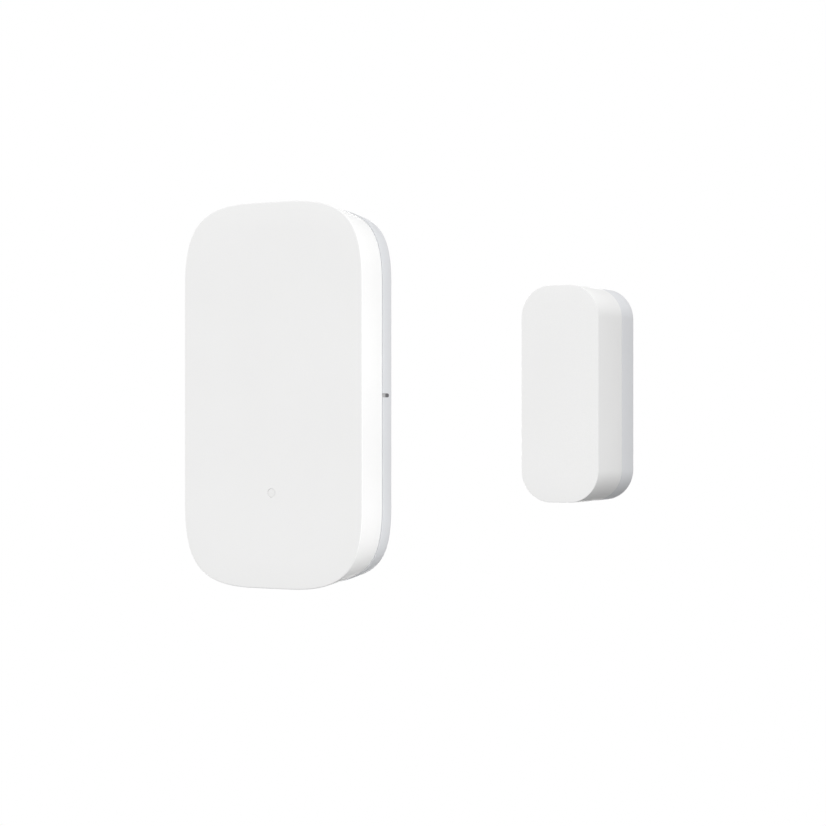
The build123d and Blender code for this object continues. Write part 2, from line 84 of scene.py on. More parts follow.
# The flared shell's edge round takes this much off the nominal front outline.
FLARE_TRIM = 0.014
SENSOR_HALF_X = high("front_shell").x + FLARE_TRIM
SENSOR_HALF_Z = high("front_shell").z + FLARE_TRIM
COVER_SPLIT_INSET = SENSOR_HALF_X - high("rear_cover").x
SHELL_SPLIT_INSET = COVER_SPLIT_INSET + 0.1
BACK_INSET = COVER_SPLIT_INSET + 0.38
SENSOR_CORNER = 8.76
CORNER_HANDLE = 0.754
MAGNET_CENTRE_X = middle("magnet_shell").x
MAGNET_HALF_X = high("magnet_shell").x - MAGNET_CENTRE_X
MAGNET_HALF_Z = high("magnet_shell").z
MAGNET_CORNER = 3.1
SMALLEST_CORNER = 0.05

FRONT_WALL = 1.1
COVER_FLOOR = 0.8
SHELL_WALL = 1.7
TONGUE_OUTER = 1.8
TONGUE_INNER = 2.5
MAGNET_WALL = 1.2
MAGNET_TONGUE_OUTER = 1.3
MAGNET_TONGUE_INNER = 2.0
FRONT_ROUND = 0.14
MAGNET_FRONT_ROUND = 0.07
BACK_ROUND = 0.4
SPLIT_ROUND = 0.03
INNER_ROUND = 0.2
SMOOTH_ANGLE = math.radians(32.0)
FOAM_SMOOTH_ANGLE = math.radians(60.0)
MERGE_DISTANCE = 1e-7  # metres


# ---- mesh helpers
def make(name, mesh, body, slot, *replaced, look=None):
    """Make an object of the mesh on its body, in place of the CAD nodes, with its slot and look."""
    mesh.name = name
    piece = bpy.data.objects.new(name, mesh)
    bpy.context.scene.collection.objects.link(piece)
    mesh.materials.clear()
    mesh.materials.append(look or LOOKS[slot])
    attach(piece, body)
    if replaced:
        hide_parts(*replaced)
    return piece


def mesh_of(work, smooth_angle=SMOOTH_ANGLE):
    """Turn a bmesh into a mesh with outward normals, smooth except over sharp edges."""
    bmesh.ops.remove_doubles(work, verts=work.verts, dist=MERGE_DISTANCE)
    bmesh.ops.recalc_face_normals(work, faces=work.faces)
    for face in work.faces:
        face.smooth = True
    for edge in work.edges:
        if len(edge.link_faces) == 2:
            edge.smooth = edge.calc_face_angle(0.0) < smooth_angle
    mesh = bpy.data.meshes.new("piece")
    work.to_mesh(mesh)
    work.free()
    return mesh


def add_rings(work, rings, closed=False):
    """Join rings of equal length, lists of points in millimetres, with quads.

    The first and last rings get a cap, unless closed joins them to each other.
    """
    rows = [[work.verts.new([value * MM for value in point]) for point in points] for points in rings]
    pairs = list(zip(rows, rows[1:]))
    if closed:
        pairs.append((rows[-1], rows[0]))
    for a, b in pairs:
        for i in range(len(a)):
            j = (i + 1) % len(a)
            work.faces.new((a[i], a[j], b[j], b[i]))
    if not closed:
        work.faces.new(rows[0])
        work.faces.new(rows[-1][::-1])


def built(add, *shape, smooth_angle=SMOOTH_ANGLE, **options):
    """A mesh of one solid, made by one of the add functions."""
    work = bmesh.new()
    add(work, *shape, **options)
    return mesh_of(work, smooth_angle)


def ring_mesh(rings, **options):
    return built(add_rings, rings, **options)


def cut(mesh, cutter, operation="DIFFERENCE"):
    """The mesh after an exact boolean with a cutter mesh."""
    target = bpy.data.objects.new("target", mesh)
    tool = bpy.data.objects.new("tool", cutter)
    for thing in (target, tool):
        bpy.context.scene.collection.objects.link(thing)
    modifier = target.modifiers.new("cut", "BOOLEAN")
    modifier.operation = operation
    modifier.solver = "EXACT"
    modifier.object = tool
    bpy.context.view_layer.update()
    result = bpy.data.meshes.new_from_object(
        target.evaluated_get(bpy.context.evaluated_depsgraph_get())
    )
    for thing in (target, tool):
        bpy.data.objects.remove(thing)
    return result


def sharpen(mesh):
    """Set smooth faces and sharp edges again, after a boolean."""
    work = bmesh.new()
    work.from_mesh(mesh)
    return mesh_of(work)


def add_lathe(work, radii, centre, along="Y", segments=40):
    """A turned solid. radii are (radius, place along the axis) pairs, a depth where that is Y."""
    turns = [2 * math.pi * i / segments for i in range(segments)]
    rings = []
    for radius, place in radii:
        points = [(centre[0] + radius * math.cos(t), centre[1] + radius * math.sin(t)) for t in turns]
        if along == "Y":
            rings.append([(a, -place, b) for a, b in points])
        else:
            rings.append([(a, b, place) for a, b in points])
    add_rings(work, rings)


def turned_mesh(*shape):
    return built(add_lathe, *shape)


def add_prism(work, outline, back_depth, front_depth):
    """A flat closed piece of the given (x, z) outline between two depths."""
    add_rings(work, [[(x, -depth, z) for x, z in outline] for depth in (back_depth, front_depth)])


def prism_mesh(*shape):
    return built(add_prism, *shape)


def box_mesh(low_corner, high_corner):
    """A plain box between two corners."""
    x0, y0, z0 = low_corner
    x1, y1, z1 = high_corner
    return ring_mesh([[(x0, y, z0), (x1, y, z0), (x1, y, z1), (x0, y, z1)] for y in (y0, y1)])


# ---- outlines and profiles
CORNER_STEPS = 32
SIDE_STEPS = 8


def bezier(points, t):
    """A point of the cubic curve at t."""
    s = 1.0 - t
    weights = (s * s * s, 3 * s * s * t, 3 * s * t * t, t * t * t)
    return tuple(sum(w * point[k] for w, point in zip(weights, points)) for k in (0, 1))


def mirror_quarters(corner_points, side_steps=SIDE_STEPS):
    """The closed outline, clockwise from the top middle, made of one corner mirrored four ways."""
    backwards = corner_points[::-1]
    quarters = (
        corner_points,
        [(x, -z) for x, z in backwards],
        [(-x, -z) for x, z in corner_points],
        [(-x, z) for x, z in backwards],
    )
    outline = []
    for index, quarter in enumerate(quarters):
        outline.extend(quarter)
        x0, z0 = quarter[-1]
        x1, z1 = quarters[(index + 1) % 4][0]
        for step in range(1, side_steps):
            f = step / side_steps
            outline.append((x0 + (x1 - x0) * f, z0 + (z1 - z0) * f))
    return outline


def sensor_outline(inset, fuller=0.0):
    """The sensor's outline, drawn in from the front edge. Its corners are cubic curves.

    fuller makes the corners that much shorter, which pushes them out.
    """
    x = SENSOR_HALF_X - inset
    z = SENSOR_HALF_Z - inset
    corner = SENSOR_CORNER - inset - fuller
    reach = corner * CORNER_HANDLE
    curve = ((x - corner, z), (x - corner + reach, z), (x, z - corner + reach), (x, z - corner))
    return mirror_quarters([bezier(curve, step / CORNER_STEPS) for step in range(CORNER_STEPS + 1)])


def rounded_rectangle(centre, half_x, half_z, corner, corner_steps=CORNER_STEPS, side_steps=SIDE_STEPS):
    """A rectangle with arcs at its corners, round a centre (x, z)."""
    points = arc((half_x - corner, half_z - corner), corner, 90, 0, corner_steps)
    return [(x + centre[0], z + centre[1]) for x, z in mirror_quarters(points, side_steps)]


def magnet_outline(inset):
    """The magnet unit's outline, drawn in."""
    corner = max(MAGNET_CORNER - inset, SMALLEST_CORNER)
    return rounded_rectangle((MAGNET_CENTRE_X, 0.0), MAGNET_HALF_X - inset, MAGNET_HALF_Z - inset, corner)


def arc(centre, radius, start, end, steps):
    """Points on part of a circle. The angles are in degrees."""
    points = []
    for step in range(steps + 1):
        angle = math.radians(start + (end - start) * step / steps)
        points.append((centre[0] + radius * math.cos(angle), centre[1] + radius * math.sin(angle)))
    return points


def ring(outline, inset, depth):
    return [(x, -depth, z) for x, z in outline(inset)]


def round_edge(start, corner, end, radius, steps=4):
    """Profile points (inset, depth) that round the corner between two straight runs."""
    corner = Vector(corner)
    to_start = (Vector(start) - corner).normalized()
    to_end = (Vector(end) - corner).normalized()
    back = radius / math.tan(to_start.angle(to_end) / 2)
    a = corner + to_start * back
    b = corner + to_end * back
    points = []
    for step in range(steps + 1):
        t = step / steps
        points.append(tuple(a.lerp(corner, t).lerp(corner.lerp(b, t), t)))
    return points


def profile(corners):
    """Profile points from corners given as (inset, depth, radius); no radius keeps it sharp."""
    points = []
    for i, (inset, depth, radius) in enumerate(corners):
        if radius:
            before = corners[i - 1][:2]
            after = corners[(i + 1) % len(corners)][:2]
            points.extend(round_edge(before, (inset, depth), after, radius))
        else:
            points.append((inset, depth))
    return points


def circle_like(outline, centre, radius, depth):
    """A circle with as many points as the outline, each in its outline point's direction."""
    points = []
    for x, z in outline(0):
        d = Vector((x - centre[0], z - centre[1])).normalized() * radius
        points.append((centre[0] + d.x, -depth, centre[1] + d.y))
    return points


def blend_rings(a, b, steps):
    """Rings between two rings, without the ends."""
    return [[Vector(p).lerp(Vector(q), step / steps) for p, q in zip(a, b)] for step in range(1, steps)]


def dome(radius, tip, width, height, steps):
    """Turned points over a tip whose edge is a quarter ellipse, from its side to its face."""
    points = []
    for step in range(steps + 1):
        angle = math.pi / 2 * step / steps
        points.append((radius - width * (1 - math.cos(angle)), tip - height * (1 - math.sin(angle))))
    return points


def flange(radius, back, front):
    """Turned points of a flat disc whose edges are slightly broken."""
    edge = 0.06
    return [(radius - edge, back), (radius, back + edge), (radius, front - edge), (radius - edge, front)]


# ---- shells and covers
LIGHT_CENTRE = (0.0, middle("light_guide").z)
LIGHT_HOLE = 0.47
LIGHT_RIM = 0.04
FLAT_INSET = 3.0
CAP_INSET = 6.0
FLAT_STEPS = 6
STAKES = [(side_x * 6.3, side_z * 15.5) for side_x in (-1, 1) for side_z in (-1, 1)]
STAKE_RADIUS = 0.5
STAKE_HEAD_RADIUS = 0.8
STAKE_HEAD = 0.3
BUTTON_PLACE = (0.0, middle("reset_button").y)
BUTTON_HOLE = 0.75
BUTTON_DISH = 0.15
EJECTOR_MARKS = [(side_x * 5.5, side_z * 12.0) for side_x in (-1, 1) for side_z in (-1, 1)]
EJECTOR_RADIUS = 1.2
EJECTOR_DEPTH = 0.05
COVER_FLOOR_DEPTH = COVER_BACK_DEPTH + COVER_FLOOR
# The cover's corners are a little fuller at its back than at the parting line.
BACK_FULLNESS = 0.4
NOTCH_HALF = 2.0
MAGNET_FLAT_INSET = 2.0
MAGNET_CAP_INSET = 2.5
RIB_TOP_DEPTH = -high("magnet_retainer").y
RIB_PLACE = 4.0
RIB_HALF = 0.4


def shell_profile(wall, inside, back_inset, back_depth, front_depth, front_round, flat_inset):
    """A front shell's wall, from its inner face over the mouth to its front."""
    return profile([
        (flat_inset, inside, 0),
        (wall, inside, INNER_ROUND),
        (wall, back_depth, SPLIT_ROUND / 2),
        (back_inset, back_depth, SPLIT_ROUND),
        (0.0, front_depth, front_round),
        (flat_inset, front_depth, 0),
    ])


def tray_profile(back_inset, split_inset, split_depth, tongue_outer, tongue_inner, cap_inset):
    """A rear cover's wall, from the middle of its back, over the side and tongue, to its floor."""
    tongue_top = split_depth + TONGUE_RISE
    return profile([
        (cap_inset, COVER_BACK_DEPTH, 0),
        (back_inset, COVER_BACK_DEPTH, BACK_ROUND),
        (split_inset, split_depth, SPLIT_ROUND),
        (tongue_outer, split_depth, SPLIT_ROUND / 2),
        (tongue_outer, tongue_top, 0.12),
        (tongue_inner, tongue_top, 0.08),
        (tongue_inner, COVER_FLOOR_DEPTH, 0.3),
        (cap_inset, COVER_FLOOR_DEPTH, 0),
    ])


def front_shell_mesh():
    """The flared shell: a closed loop of rings from the mouth round the front to the light hole."""
    inside = FRONT_DEPTH - FRONT_WALL
    flare = (FRONT_DEPTH - SHELL_BACK_DEPTH) / (FRONT_DEPTH - COVER_FRONT_DEPTH)
    back_inset = SHELL_SPLIT_INSET * flare
    wall = shell_profile(
        SHELL_WALL, inside, back_inset, SHELL_BACK_DEPTH, FRONT_DEPTH, FRONT_ROUND, FLAT_INSET
    )
    rings = [ring(sensor_outline, inset, depth) for inset, depth in wall]
    rim, hole, hole_inside = (
        circle_like(sensor_outline, LIGHT_CENTRE, radius, depth)
        for radius, depth in (
            (LIGHT_HOLE + LIGHT_RIM, FRONT_DEPTH),
            (LIGHT_HOLE, FRONT_DEPTH - LIGHT_RIM),
            (LIGHT_HOLE, inside),
        )
    )
    rings += blend_rings(rings[-1], rim, FLAT_STEPS) + [rim, hole, hole_inside]
    rings += blend_rings(hole_inside, rings[0], FLAT_STEPS)
    mesh = ring_mesh(rings, closed=True)
    for centre in STAKES:
        radii = [
            (STAKE_HEAD_RADIUS + 0.25, inside + 0.05),
            (STAKE_HEAD_RADIUS + 0.1, inside - 0.04),
            (STAKE_HEAD_RADIUS, inside - 0.2),
            (STAKE_HEAD_RADIUS, BOARD_FRONT_DEPTH),
            (STAKE_RADIUS, BOARD_FRONT_DEPTH),
            (STAKE_RADIUS, BOARD_BACK_DEPTH),
        ]
        # The melted head is half a flattened ball.
        head = dome(STAKE_HEAD_RADIUS, BOARD_BACK_DEPTH - STAKE_HEAD, STAKE_HEAD_RADIUS, -STAKE_HEAD, 6)
        radii += head[:-1]
        mesh = cut(mesh, turned_mesh(radii, centre), "UNION")
    outside = SENSOR_HALF_Z - back_inset
    button_hole = [
        (BUTTON_HOLE, high("switch_body").z),
        (BUTTON_HOLE, outside + 0.04),
        (BUTTON_HOLE + BUTTON_DISH, outside + 0.22),
        (BUTTON_HOLE + BUTTON_DISH, SENSOR_HALF_Z + 1.0),
    ]
    return sharpen(cut(mesh, turned_mesh(button_hole, BUTTON_PLACE, "Z", 64)))


def slot_mesh(node, x_low, x_high, y_front, grow=0.0):
    """A bar along Y with a half-round rear end, as high as a mark, between two places on X."""
    radius = (high(node).z - low(node).z) / 2
    centre = (high(node).y - radius, middle(node).z)
    reach = radius + grow
    outline = [(y_front, centre[1] - reach), *arc(centre, reach, -90, 90, 12), (y_front, centre[1] + reach)]
    return ring_mesh([[(x, y, z) for y, z in outline] for x in (x_low, x_high)])


def mark_groove(node, outward):
    """A cutter for the groove that holds a mark. outward is +1 or -1 along X."""
    x_low = low(node).x - (1.0 if outward < 0 else 0.0)
    x_high = high(node).x + (1.0 if outward > 0 else 0.0)
    return slot_mesh(node, x_low, x_high, low(node).y - 0.2, 0.01)


def cover_ring(inset, depth):
    rise = (COVER_FRONT_DEPTH - depth) / (COVER_FRONT_DEPTH - COVER_BACK_DEPTH)
    fuller = BACK_FULLNESS * min(max(rise, 0.0), 1.0)
    return [(x, -depth, z) for x, z in sensor_outline(inset, fuller)]


def rear_cover_mesh():
    """The sensor's tray, with a notch for the switch, the mark's groove and ejector marks."""
    wall = tray_profile(
        BACK_INSET, COVER_SPLIT_INSET, COVER_FRONT_DEPTH, TONGUE_OUTER, TONGUE_INNER, CAP_INSET
    )
    mesh = ring_mesh([cover_ring(inset, depth) for inset, depth in wall])
    notch_low = (-NOTCH_HALF, -COVER_FRONT_DEPTH - TONGUE_RISE - 1.0, SENSOR_HALF_Z - 3.2)
    notch_high = (NOTCH_HALF, -COVER_FRONT_DEPTH, SENSOR_HALF_Z - 0.9)
    mesh = cut(mesh, box_mesh(notch_low, notch_high))
    mesh = cut(mesh, mark_groove("alignment_mark", 1))
    pin = [(EJECTOR_RADIUS, COVER_FLOOR_DEPTH - EJECTOR_DEPTH), (EJECTOR_RADIUS, COVER_FLOOR_DEPTH + 1.0)]
    for centre in EJECTOR_MARKS:
        mesh = cut(mesh, turned_mesh(pin, centre))
    return sharpen(mesh)


def magnet_shell_mesh():
    wall = shell_profile(
        MAGNET_WALL, MAGNET_FRONT_DEPTH - FRONT_WALL, 0.0, MAGNET_SHELL_BACK_DEPTH,
        MAGNET_FRONT_DEPTH, MAGNET_FRONT_ROUND, MAGNET_FLAT_INSET,
    )
    return ring_mesh([ring(magnet_outline, inset, depth) for inset, depth in wall])


def magnet_cover_mesh():
    """The magnet unit's tray, with two ribs under the magnet and the mark's groove."""
    wall = tray_profile(
        0.0, 0.0, MAGNET_COVER_FRONT_DEPTH, MAGNET_TONGUE_OUTER, MAGNET_TONGUE_INNER, MAGNET_CAP_INSET
    )
    mesh = ring_mesh([ring(magnet_outline, inset, depth) for inset, depth in wall])
    reach = MAGNET_HALF_X - MAGNET_TONGUE_INNER + 0.3
    for place in (-RIB_PLACE, RIB_PLACE):
        rib_low = (MAGNET_CENTRE_X - reach, -RIB_TOP_DEPTH, place - RIB_HALF)
        rib_high = (MAGNET_CENTRE_X + reach, -COVER_FLOOR_DEPTH + 0.2, place + RIB_HALF)
        mesh = cut(mesh, box_mesh(rib_low, rib_high), "UNION")
    return sharpen(cut(mesh, mark_groove("magnet_mark", -1)))


# ---- foam pads
PAD_FILM = 0.06
PAD_BULGE = 0.05
PAD_PIT = 0.06
PAD_EDGE = 0.03
CORE_INSET = 0.04
CORE_STEPS = 10


def foam_pad_mesh(outline, inset, back, front, seed, cap_inset=2.0):
    """A die-cut foam tape: a core that bulges and is pitted at its cut edge, between two films."""
    rng = random.Random(seed)
    film_edge = [
        (inset + cap_inset, 0.0), (inset + PAD_EDGE, 0.0), (inset, PAD_FILM * 0.4), (inset, PAD_FILM)
    ]
    levels = [(level_inset, back + rise) for level_inset, rise in film_edge]
    for step in range(CORE_STEPS + 1):
        f = step / CORE_STEPS
        bulge = PAD_BULGE * math.sin(math.pi * f)
        levels.append((inset + CORE_INSET - bulge, back + PAD_FILM + (front - back - 2 * PAD_FILM) * f))
    levels += [(level_inset, front - rise) for level_inset, rise in reversed(film_edge)]
    pitted_rows = range(len(film_edge) + 1, len(film_edge) + CORE_STEPS)
    rings = []
    for row, (level_inset, depth) in enumerate(levels):
        points = ring(outline, level_inset, depth)
        if row in pitted_rows:
            pitted = ring(outline, level_inset + PAD_PIT, depth)
            points = [Vector(p).lerp(Vector(q), rng.random() ** 2) for p, q in zip(points, pitted)]
        rings.append(points)
    return ring_mesh(rings, smooth_angle=FOAM_SMOOTH_ANGLE)


# ---- materials
class Graph:
    """The node tree of a material or world under construction."""

    def __init__(self, owner):
        owner.use_nodes = True
        self.tree = owner.node_tree

    def add(self, kind, inputs=(), **settings):
        node = self.tree.nodes.new("ShaderNode" + kind)
        for key, value in settings.items():
            setattr(node, key, value)
        for key, value in dict(inputs).items():
            node.inputs[key].default_value = value
        return node

    def link(self, source, target):
        self.tree.links.new(source, target)

    def math(self, operation, a, b):
        node = self.add("Math", operation=operation)
        for socket, value in zip(node.inputs, (a, b)):
            if isinstance(value, float):
                socket.default_value = value
            else:
                self.link(value, socket)
        return node.outputs[0]


class Recipe(Graph):
    """A procedural material on the Principled shader."""

    def __init__(self, name):
        self.material = bpy.data.materials.new(name)
        super().__init__(self.material)
        self.shader = self.tree.nodes["Principled BSDF"]
        self.place = self.add("TexCoord").outputs["Object"]

    def texture(self, kind, size, inputs=(), vector=None, **settings):
        """A texture whose features are about size millimetres across."""
        node = self.add(kind, {"Scale": 1.0 / (size * MM), **dict(inputs)}, **settings)
        self.link(vector or self.place, node.inputs["Vector"])
        return node

    def noise(self, size, detail=2.0, roughness=0.5, vector=None):
        inputs = {"Detail": detail, "Roughness": roughness}
        return self.texture("TexNoise", size, inputs, vector).outputs["Fac"]

    def cells(self, size):
        return self.texture("TexVoronoi", size).outputs["Distance"]

    def span(self, source, low_in, high_in, low_out=0.0, high_out=1.0):
        limits = {"From Min": low_in, "From Max": high_in, "To Min": low_out, "To Max": high_out}
        node = self.add("MapRange", limits)
        self.link(source, node.inputs["Value"])
        return node.outputs["Result"]

    def mix(self, factor, a, b):
        """A colour between a and b, each a colour or a socket."""
        node = self.add("Mix", data_type="RGBA")
        self.link(factor, node.inputs["Factor"])
        for socket, value in ((node.inputs[6], a), (node.inputs[7], b)):
            if isinstance(value, tuple):
                socket.default_value = (*value, 1.0)
            else:
                self.link(value, socket)
        return node.outputs[2]

    def shade(self, source, low_in, high_in, a, b):
        """The colour a where the source is low and b where it is high."""
        return self.mix(self.span(source, low_in, high_in), a, b)

    def edges(self, radius):
        """1 near edges of about that radius and 0 on flat stretches."""
        bevel = self.add("Bevel", {"Radius": radius * MM}, samples=6)
        dot = self.add("VectorMath", operation="DOT_PRODUCT")
        self.link(bevel.outputs["Normal"], dot.inputs[0])
        self.link(self.add("NewGeometry").outputs["Normal"], dot.inputs[1])
        return self.span(dot.outputs["Value"], 1.0, 0.75)

    def bump(self, height, distance):
        """Adds a bump on top of those already there."""
        node = self.add("Bump", {"Strength": 1.0, "Distance": distance * MM})
        self.link(height, node.inputs["Height"])
        socket = self.shader.inputs["Normal"]
        if socket.is_linked:
            self.link(socket.links[0].from_socket, node.inputs["Normal"])
        self.link(node.outputs["Normal"], socket)

    def colour(self, source):
        self.link(source, self.shader.inputs["Base Color"])

    def roughness(self, source):
        self.link(source, self.shader.inputs["Roughness"])

    def finish(self, **values):
        """The material, with the values that are even all over straight on the shader's sockets."""
        for key, value in values.items():
            self.shader.inputs[key.replace("_", " ")].default_value = value
        return self.material


def tint(colour, factor):
    return tuple(channel * factor for channel in colour)


def moulded_plastic(name, colour, roughness, grain=0.11):
    """Injection-moulded plastic: spark-eroded grain, faint flow clouds, and handled edges that are smoother
    and painted slightly darker as painted shade.
    """
    r = Recipe(name)
    clouds = r.noise(9.0, 3.0, 0.55)
    fine = r.noise(grain, 2.0, 0.6)
    edge = r.edges(0.22)
    body = r.shade(clouds, 0.3, 0.7, tint(colour, 0.985), tint(colour, 1.01))
    speck = r.shade(fine, 0.35, 0.75, body, tint(colour, 0.975))
    # Painted shade: near edges the colour is painted 0.985 times darker, which tones down their highlight.
    r.colour(r.mix(edge, speck, tint(colour, 0.985)))
    rough = r.span(clouds, 0.25, 0.75, roughness - 0.04, roughness + 0.04)
    rough = r.math("ADD", rough, r.span(fine, 0.3, 0.7, -0.03, 0.03))
    r.roughness(r.math("SUBTRACT", rough, r.math("MULTIPLY", edge, 0.06)))
    r.bump(r.noise(grain * 3.1, 2.0, 0.5), 0.00256)
    r.bump(fine, 0.0016)
    return r.finish(IOR=1.49, Specular_IOR_Level=0.5)


def foam(name, colour):
    """Closed-cell foam: packed round cells of mixed size, cut open at the surface, with painted shade in
    their pits.
    """
    r = Recipe(name)
    cells = r.cells(0.16)
    small_cells = r.cells(0.07)
    # Painted shade: the pits of the cut cells are painted darker, 0.88 of the colour.
    body = r.shade(cells, 0.15, 0.7, tint(colour, 0.88), colour)
    r.colour(r.shade(r.noise(4.0, 3.0), 0.3, 0.7, body, tint(colour, 1.012)))
    r.roughness(r.span(small_cells, 0.1, 0.7, 0.82, 0.94))
    r.bump(cells, 0.012)
    r.bump(small_cells, 0.004)
    return r.finish(IOR=1.45)


def metal(name, colour, roughness, grain=(1.0, 1.0, 1.0), size=0.35, depth=0.0008):
    """Plated or rolled metal. Grain stretches the marks along one axis."""
    r = Recipe(name)
    stretch = r.add("Mapping", {"Scale": grain})
    r.link(r.place, stretch.inputs["Vector"])
    marks = r.noise(size, 4.0, 0.65, stretch.outputs["Vector"])
    edge = r.edges(0.12)
    body = r.shade(r.noise(3.0, 3.0, 0.6), 0.35, 0.7, colour, tint(colour, 0.86))
    # Painted highlight: near edges the colour is painted 1.12 times lighter; the edges are also made a little
    # smoother.
    r.colour(r.mix(edge, body, tint(colour, 1.12)))
    rough = r.span(marks, 0.3, 0.7, roughness - 0.08, roughness + 0.12)
    r.roughness(r.math("SUBTRACT", rough, r.math("MULTIPLY", edge, 0.08)))
    r.bump(marks, depth)
    return r.finish(Metallic=1.0)


def grained(name, colour, clouds, shades, grain, gloss, depth, rim=None, **values):
    """A surface whose broad clouds shade the colour, and whose finer grain sets gloss and relief. A rim of
    (edge radius, factor) paints a highlight on edges.
    """
    r = Recipe(name)
    low_in, high_in, dark, pale = shades
    tone = r.shade(r.noise(*clouds), low_in, high_in, tint(colour, dark), tint(colour, pale))
    # Painted highlight: edges of about rim[0] mm get the colour times rim[1].
    if rim:
        tone = r.mix(r.edges(rim[0]), tone, tint(colour, rim[1]))
    r.colour(tone)
    fine = r.noise(*grain)
    r.roughness(r.span(fine, 0.3, 0.7, *gloss))
    r.bump(fine, depth)
    return r.finish(**values)


def epoxy(name, colour, roughness=0.55):
    """Moulded chip body or nylon: dusty, with fine grain and a painted highlight on its edges."""
    gloss = (roughness - 0.08, roughness + 0.08)
    dust = (0.8, 4.0, 0.7)
    return grained(
        name, colour, dust, (0.45, 0.8, 1.0, 1.8), (0.05, 2.0, 0.6), gloss, 0.002, (0.08, 2.4), IOR=1.5
    )


def ceramic(name, colour):
    """Fired dielectric ceramic: matte, speckled."""
    speck = (0.06, 3.0, 0.7)
    return grained(name, colour, speck, (0.35, 0.7, 0.8, 1.1), speck, (0.5, 0.75), 0.004, IOR=1.6)


def drawn_glass(name, colour):
    """Clear glass with faint drawing marks."""
    marks = (0.4, 2.0, 0.5)
    shades = (0.3, 0.7, 0.96, 1.0)
    return grained(
        name, colour, marks, shades, marks, (0.018, 0.042), 0.002, IOR=1.5, Transmission_Weight=1.0
    )


def milky_resin(name, colour):
    """Diffusing plastic with a smooth moulded face."""
    shades = (0.3, 0.7, 0.985, 1.0)
    return grained(name, colour, (0.6, 3.0, 0.5), shades, (0.05, 2.0, 0.6), (0.3, 0.38), 0.001, IOR=1.5)


LAMINATE = (0.5, 0.44, 0.24)


def solder_mask(name, colour):
    """Green lacquer over laminate, with the glass weave just showing through and bare cut edges."""
    r = Recipe(name)
    threads = [
        r.texture("TexWave", 1.6, {"Distortion": 0.4}, wave_type="BANDS", bands_direction=axis)
        for axis in "XZ"
    ]
    weave = r.math("MULTIPLY", *(thread.outputs["Fac"] for thread in threads))
    pools = r.noise(1.2, 3.0, 0.6)
    body = r.mix(weave, tint(colour, 0.86), tint(colour, 1.12))
    body = r.shade(pools, 0.35, 0.75, body, tint(colour, 0.8))
    normal = r.add("SeparateXYZ")
    r.link(r.add("TexCoord").outputs["Normal"], normal.inputs[0])
    r.colour(r.shade(r.math("ABSOLUTE", normal.outputs["Y"], 0.0), 0.4, 0.6, LAMINATE, body))
    r.roughness(r.span(pools, 0.3, 0.7, 0.22, 0.36))
    r.bump(weave, 0.003)
    r.bump(pools, 0.006)
    return r.finish(IOR=1.52, Coat_Weight=0.25, Coat_Roughness=0.2)


def printed_mark(name, dark, pale, node):
    """Pad-printed ink on the groove's floor, with painted shade: paler towards the parting line, darker
    towards the groove's deep back end.
    """
    r = Recipe(name)
    split = r.add("SeparateXYZ")
    r.link(r.place, split.inputs[0])
    along = r.span(split.outputs["Y"], low(node).y * MM, high(node).y * MM)
    grain = r.noise(0.05, 2.0, 0.6)
    # Painted shade: the ink is paler at the parting line and darker towards the groove's deep back end,
    # jittered by the grain.
    painted_groove_shade = r.math("ADD", along, r.span(grain, 0.3, 0.7, -0.08, 0.08))
    r.colour(r.shade(painted_groove_shade, 0.42, 0.6, pale, dark))
    r.roughness(r.span(grain, 0.3, 0.7, 0.45, 0.65))
    r.bump(grain, 0.002)
    return r.finish(IOR=1.48)


WHITE = (0.865, 0.865, 0.862)
COVER_GREY = (0.645, 0.655, 0.674)
# Painted light: the magnet unit's cover is the sensor cover's grey plastic, painted about a tenth lighter to
# stand in for stronger light on it.
MAGNET_GREY_PAINTED_LIGHTER = (0.71, 0.72, 0.74)

LOOKS = {
    "shell_white": moulded_plastic("white_plastic", WHITE, 0.46),
    "cover_grey": moulded_plastic("grey_plastic", COVER_GREY, 0.5),
    "button_white": moulded_plastic("button_plastic", tint(WHITE, 0.97), 0.38, grain=0.06),
    "light_guide": milky_resin("light_guide_resin", (0.83, 0.83, 0.825)),
    "foam_pad": foam("tape_foam", (0.83, 0.83, 0.82)),
    "foam_grey": foam("retainer_foam", (0.09, 0.09, 0.095)),
    "board_green": solder_mask("solder_mask", (0.018, 0.13, 0.055)),
    "chip_black": epoxy("chip_epoxy", (0.02, 0.02, 0.022)),
    "holder_black": epoxy("holder_nylon", (0.028, 0.028, 0.03), 0.48),
    "seal_grey": epoxy("seal_nylon", (0.3, 0.3, 0.3), 0.5),
    "component_ceramic": ceramic("fired_ceramic", (0.42, 0.3, 0.18)),
    "led_white": ceramic("led_housing", (0.82, 0.8, 0.72)),
    "spring_steel": metal("nickel_strip", (0.72, 0.7, 0.66), 0.3, (1.0, 0.12, 0.12), 0.25),
    "cell_steel": metal("cell_steel", (0.8, 0.8, 0.79), 0.26, size=0.3, depth=0.0001),
    "contact_gold": metal("gold_plate", (0.83, 0.62, 0.28), 0.25),
    "magnet_nickel": metal("magnet_nickel", (0.68, 0.67, 0.64), 0.2, size=0.6),
    "reed_glass": drawn_glass("reed_glass", (0.86, 0.95, 0.88)),
    "reed_wire": metal("reed_wire", (0.66, 0.62, 0.55), 0.28, (1.0, 1.0, 0.15), 0.1),
    "mark_dark": printed_mark("mark_ink", (0.11, 0.11, 0.114), (0.42, 0.42, 0.425), "alignment_mark"),
}
# Painted light: a lighter copy of the cover plastic, for the magnet unit's cover.
MAGNET_PLASTIC_PAINTED_LIGHTER = moulded_plastic("magnet_grey_plastic_painted_lighter", MAGNET_GREY_PAINTED_LIGHTER, 0.5)
COPPER_MASK = solder_mask("mask_over_copper", (0.03, 0.2, 0.085))
SOLDER = metal("tin_solder", (0.74, 0.75, 0.76), 0.22, size=0.5)
PRINT_INK = ceramic("board_ink", (0.78, 0.78, 0.76))

